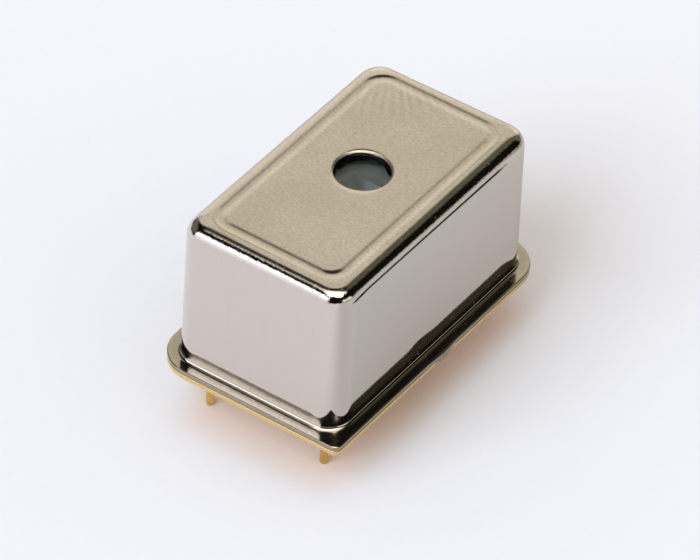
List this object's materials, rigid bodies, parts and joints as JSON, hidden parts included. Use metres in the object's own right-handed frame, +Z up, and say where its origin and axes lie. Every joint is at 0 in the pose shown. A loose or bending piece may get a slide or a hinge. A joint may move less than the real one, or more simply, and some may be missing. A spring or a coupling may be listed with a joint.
{
  "type": "mini spectrometer",
  "caption": "Small sealed metal-can spectrometer with a round window in its lid, a flanged gold-plated stem and wire leads for a circuit board.",
  "frame": {"origin": "centre of the can's outline, on the plane of the lead tips", "axes": "+X along the can's long side, with leads 1 and 10 at the -X end; +Z up through the lid; the small index corner of the flange is at -X, -Y"},
  "size_m": [0.02, 0.0125, 0.0133],
  "materials": {
    "nickel_plate": "satin nickel plating on drawn sheet",
    "gold_plate": "satin gold plating",
    "gold_wire": "gold-plated wire",
    "sealing_glass": "dark fused sealing glass",
    "window_glass": "polished, clear",
    "bead_glass": "dark fused glass",
    "ceramic_body": "matte dark fired ceramic",
    "silicon": "polished silicon",
    "gold_bump": "gold",
    "cover_glass": "polished, clear",
    "substrate_glass": "ground sides, clear",
    "grating_film": "ruled mirror film"
  },
  "bodies": {
    "root": {"stem": "gold_plate", "cap": "nickel_plate", "window_seal": "sealing_glass", "window_glass": "window_glass", "lead_1": "gold_wire", "lead_2": "gold_wire", "lead_3": "gold_wire", "lead_4": "gold_wire", "lead_5": "gold_wire", "lead_6": "gold_wire", "lead_7": "gold_wire", "lead_8": "gold_wire", "lead_9": "gold_wire", "lead_10": "gold_wire", "glass_bead_1": "bead_glass", "glass_bead_2": "bead_glass", "glass_bead_3": "bead_glass", "glass_bead_4": "bead_glass", "glass_bead_5": "bead_glass", "glass_bead_6": "bead_glass", "glass_bead_7": "bead_glass", "glass_bead_8": "bead_glass", "glass_bead_9": "bead_glass", "glass_bead_10": "bead_glass", "optics_frame": "ceramic_body", "sensor_chip": "silicon", "chip_bumps": "gold_bump", "sensor_cover_glass": "cover_glass", "grating_substrate": "substrate_glass", "grating_layer": "grating_film"}
  },
  "joints": []
}
